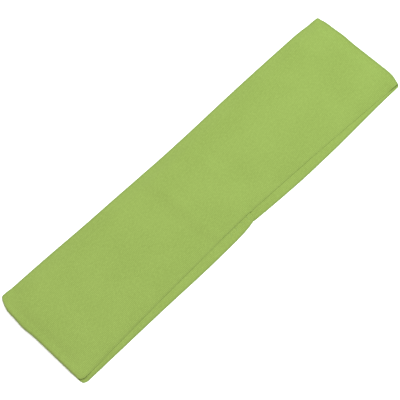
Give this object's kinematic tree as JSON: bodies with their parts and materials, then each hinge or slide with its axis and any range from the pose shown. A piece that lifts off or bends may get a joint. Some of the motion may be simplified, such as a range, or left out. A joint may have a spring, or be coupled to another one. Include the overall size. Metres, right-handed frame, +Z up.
{
  "type": "textile resistance loop band",
  "caption": "Wide woven elastic strip, lapped and sewn into an endless loop, lying flat with a tight fold at each end; it stretches lengthwise and opens.",
  "frame": {"origin": "on the ground under the middle of the loop lying flat", "axes": "+X along the loop from the left fold to the right fold, +Y across its width towards the upper run's side, +Z up"},
  "size_m": [0.33, 0.085, 0.0054],
  "materials": {
    "woven_elastic": "matt, fine twill of green polyester and cotton yarn",
    "rubber_threads": "natural latex, pale tan",
    "sewing_thread": "green polyester thread, slight sheen"
  },
  "bodies": {
    "seam": {"bobbin_thread_row_1": "sewing_thread", "bobbin_thread_row_2": "sewing_thread", "bobbin_thread_row_3": "sewing_thread", "bobbin_thread_row_4": "sewing_thread", "lap_inner_ply_rubber": "rubber_threads", "lap_inner_ply_webbing": "woven_elastic", "lap_outer_ply_rubber": "rubber_threads", "lap_outer_ply_webbing": "woven_elastic", "needle_thread_row_1": "sewing_thread", "needle_thread_row_2": "sewing_thread", "needle_thread_row_3": "sewing_thread", "needle_thread_row_4": "sewing_thread"},
    "lower_left": {"lower_left_rubber": "rubber_threads", "lower_left_webbing": "woven_elastic"},
    "lower_right": {"lower_right_rubber": "rubber_threads", "lower_right_webbing": "woven_elastic"},
    "left_lower_side": {"left_lower_fold_rubber": "rubber_threads", "left_lower_fold_webbing": "woven_elastic", "left_lower_side_rubber": "rubber_threads", "left_lower_side_webbing": "woven_elastic"},
    "left_upper_side": {"left_upper_fold_rubber": "rubber_threads", "left_upper_fold_webbing": "woven_elastic", "left_upper_side_rubber": "rubber_threads", "left_upper_side_webbing": "woven_elastic"},
    "upper_left": {"upper_left_rubber": "rubber_threads", "upper_left_webbing": "woven_elastic"},
    "upper_middle": {"upper_middle_rubber": "rubber_threads", "upper_middle_webbing": "woven_elastic"},
    "upper_right": {"upper_right_rubber": "rubber_threads", "upper_right_webbing": "woven_elastic"},
    "right_lower_side": {"right_lower_fold_rubber": "rubber_threads", "right_lower_fold_webbing": "woven_elastic", "right_lower_side_rubber": "rubber_threads", "right_lower_side_webbing": "woven_elastic"},
    "right_upper_side": {"right_upper_fold_rubber": "rubber_threads", "right_upper_fold_webbing": "woven_elastic", "right_upper_side_rubber": "rubber_threads", "right_upper_side_webbing": "woven_elastic"},
    "upper_right_end": {"upper_right_end_rubber": "rubber_threads", "upper_right_end_webbing": "woven_elastic"}
  },
  "joints": [
    {"name": "stretch", "type": "slide", "parent": "seam", "child": "lower_left", "axis": [-1, 0, 0], "range_m": [0, 0.075], "stiffness_N_per_m": 2400},
    {"name": "stretch_right", "type": "slide", "parent": "seam", "child": "lower_right", "axis": [1, 0, 0], "range_m": [0, 0.075]},
    {"name": "stretch_upper_left", "type": "slide", "parent": "upper_left", "child": "upper_middle", "axis": [1, 0, 0], "range_m": [0, 0.075]},
    {"name": "stretch_upper_right", "type": "slide", "parent": "upper_middle", "child": "upper_right", "axis": [1, 0, 0], "range_m": [0, 0.075]},
    {"name": "open", "type": "hinge", "parent": "lower_left", "child": "left_lower_side", "pos_m": [-0.088, 0, 0.0016], "axis": [0, 1, 0], "range_deg": [0, 40]},
    {"name": "left_fold_opening", "type": "hinge", "parent": "left_lower_side", "child": "left_upper_side", "pos_m": [-0.165, 0, 0.0021], "axis": [0, -1, 0], "range_deg": [0, 80]},
    {"name": "upper_left_bend", "type": "hinge", "parent": "left_upper_side", "child": "upper_left", "pos_m": [-0.088, 0, 0.0026], "axis": [0, 1, 0], "range_deg": [0, 40]},
    {"name": "lower_right_bend", "type": "hinge", "parent": "lower_right", "child": "right_lower_side", "pos_m": [0.088, 0, 0.0016], "axis": [0, -1, 0], "range_deg": [0, 40]},
    {"name": "right_fold_opening", "type": "hinge", "parent": "right_lower_side", "child": "right_upper_side", "pos_m": [0.165, 0, 0.0021], "axis": [0, 1, 0], "range_deg": [0, 80]},
    {"name": "upper_right_bend", "type": "hinge", "parent": "right_upper_side", "child": "upper_right_end", "pos_m": [0.088, 0, 0.0026], "axis": [0, -1, 0], "range_deg": [0, 40]}
  ],
  "couplings": [
    {"joint": "stretch_right", "follows": "stretch", "ratio": 1},
    {"joint": "stretch_upper_left", "follows": "stretch", "ratio": 1},
    {"joint": "stretch_upper_right", "follows": "stretch", "ratio": 1},
    {"joint": "left_fold_opening", "follows": "open", "ratio": 2},
    {"joint": "upper_left_bend", "follows": "open", "ratio": 1},
    {"joint": "lower_right_bend", "follows": "open", "ratio": 1},
    {"joint": "right_fold_opening", "follows": "open", "ratio": 2},
    {"joint": "upper_right_bend", "follows": "open", "ratio": 1}
  ]
}
